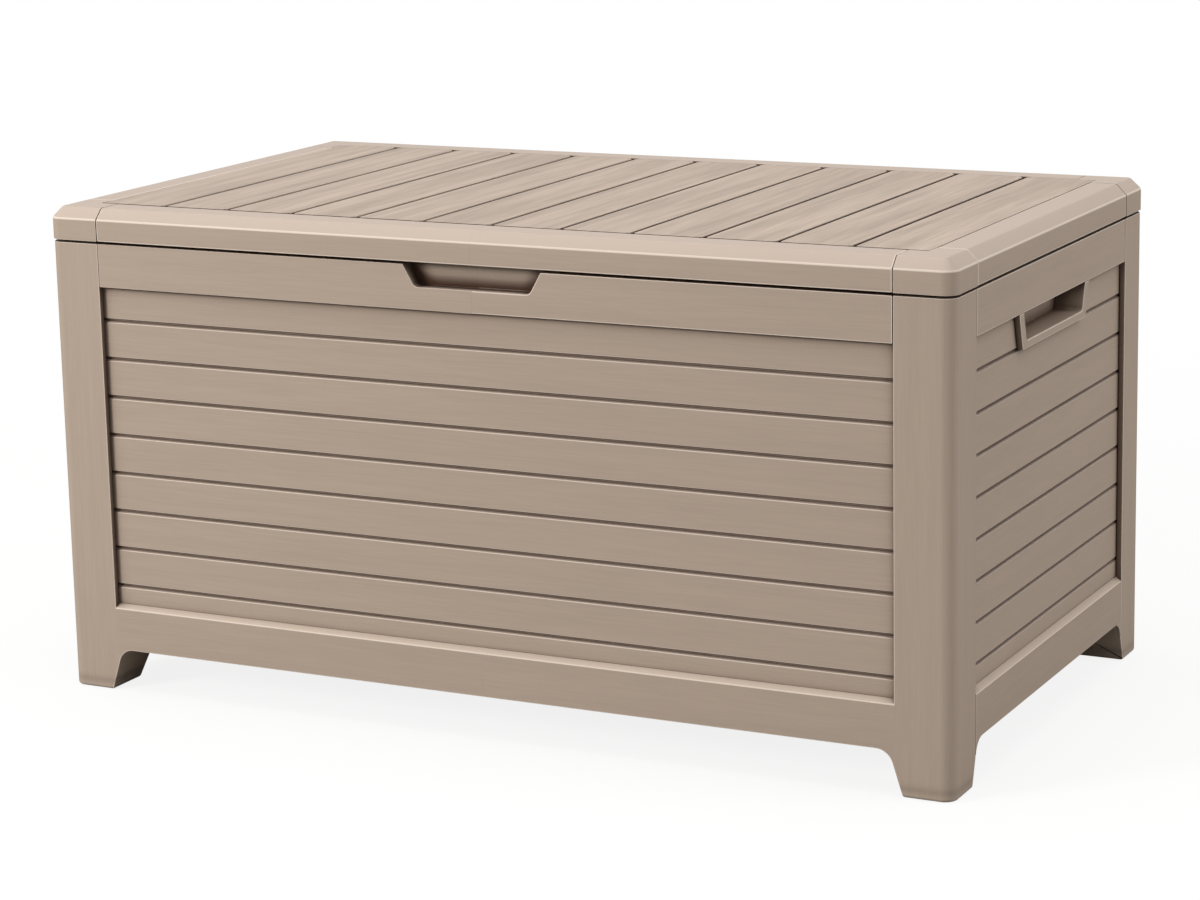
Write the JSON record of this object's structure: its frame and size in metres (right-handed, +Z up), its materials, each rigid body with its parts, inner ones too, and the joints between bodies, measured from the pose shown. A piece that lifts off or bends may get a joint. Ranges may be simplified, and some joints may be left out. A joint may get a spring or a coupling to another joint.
{
  "type": "outdoor storage box",
  "caption": "Outdoor resin storage box with slatted walls, corner posts on feet and a hinged plank-look lid held by gas struts.",
  "frame": {"origin": "on the floor, under the middle of the whole object with its hinges", "axes": "+X to the right seen from the front, the front faces -Y, +Z up"},
  "size_m": [1.242, 0.7154, 0.64],
  "materials": {
    "frame_resin": "moulded polypropylene, fine wood-grain texture, taupe",
    "wall_slats": "moulded polypropylene, horizontal wood grain, taupe",
    "handle_resin": "moulded polypropylene, smooth, taupe",
    "floor_resin": "moulded polypropylene, plain, taupe",
    "lid_trim": "moulded polypropylene, fine wood grain, taupe",
    "lid_planks": "moulded polypropylene, brushed wood grain with darker streaks, taupe",
    "hinge_steel": "powder-coated sheet steel, dark brown",
    "zinc_steel": "zinc-plated steel",
    "galvanised_tube": "galvanised square steel tube",
    "bracket_steel": "zinc-plated pressed steel",
    "strut_black": "satin black lacquered steel tube",
    "rod_steel": "hard-chromed rod with a black moulded socket"
  },
  "bodies": {
    "box": {"back_corner_left": "frame_resin", "back_corner_right": "frame_resin", "back_header_left": "frame_resin", "back_header_right": "frame_resin", "back_slat_panel": "wall_slats", "floor_panel_left": "floor_resin", "floor_panel_right": "floor_resin", "front_corner_left": "frame_resin", "front_corner_right": "frame_resin", "front_header_left": "frame_resin", "front_header_right": "frame_resin", "front_slat_panel": "wall_slats", "hinge_box_leaf_left": "hinge_steel", "hinge_box_leaf_right": "hinge_steel", "hinge_box_screws": "zinc_steel", "hinge_pin_left": "zinc_steel", "hinge_pin_right": "zinc_steel", "side_handle_left": "handle_resin", "side_handle_right": "handle_resin", "side_header_left": "frame_resin", "side_header_right": "frame_resin", "side_skirt_left": "frame_resin", "side_skirt_right": "frame_resin", "side_slat_panel_left": "wall_slats", "side_slat_panel_right": "wall_slats", "strut_box_bracket_left": "bracket_steel", "strut_box_bracket_right": "bracket_steel"},
    "lid": {"hinge_lid_leaf_left": "hinge_steel", "hinge_lid_leaf_right": "hinge_steel", "hinge_lid_screws": "zinc_steel", "lid_back_rail_left": "lid_trim", "lid_back_rail_right": "lid_trim", "lid_cap_back_left": "lid_trim", "lid_cap_back_right": "lid_trim", "lid_cap_front_left": "lid_trim", "lid_cap_front_right": "lid_trim", "lid_deck_left": "lid_planks", "lid_deck_right": "lid_planks", "lid_front_rail_left": "lid_trim", "lid_front_rail_right": "lid_trim", "lid_side_rail_left": "lid_trim", "lid_side_rail_right": "lid_trim", "lid_stiffener_back": "galvanised_tube", "lid_stiffener_front": "galvanised_tube", "strut_lid_bracket_left": "bracket_steel", "strut_lid_bracket_right": "bracket_steel"},
    "strut_cylinder_left": {"strut_cylinder_left": "strut_black"},
    "strut_rod_left": {"strut_rod_left": "rod_steel"},
    "strut_cylinder_right": {"strut_cylinder_right": "strut_black"},
    "strut_rod_right": {"strut_rod_right": "rod_steel"}
  },
  "joints": [
    {"name": "lid_hinge", "type": "hinge", "parent": "box", "child": "lid", "pos_m": [0, 0.35125, 0.5965], "axis": [-1, 0, 0], "range_deg": [0, 90]},
    {"name": "strut_pivot_left", "type": "hinge", "parent": "box", "child": "strut_cylinder_left", "pos_m": [-0.588, 0.25252, 0.36682], "axis": [-1, 0, 0], "range_deg": [0, 45]},
    {"name": "strut_slide_left", "type": "slide", "parent": "strut_cylinder_left", "child": "strut_rod_left", "axis": [0, -0.5408, 0.8411], "range_m": [0, 0.2117]},
    {"name": "strut_pivot_right", "type": "hinge", "parent": "box", "child": "strut_cylinder_right", "pos_m": [0.588, 0.25252, 0.36682], "axis": [-1, 0, 0], "range_deg": [0, 45]},
    {"name": "strut_slide_right", "type": "slide", "parent": "strut_cylinder_right", "child": "strut_rod_right", "axis": [0, -0.5408, 0.8411], "range_m": [0, 0.2117]}
  ],
  "couplings": [
    {"joint": "strut_pivot_left", "follows": "lid_hinge", "ratio": 0.5},
    {"joint": "strut_slide_left", "follows": "lid_hinge", "m_per_rad": 0.13447},
    {"joint": "strut_pivot_right", "follows": "lid_hinge", "ratio": 0.5},
    {"joint": "strut_slide_right", "follows": "lid_hinge", "m_per_rad": 0.13447}
  ]
}
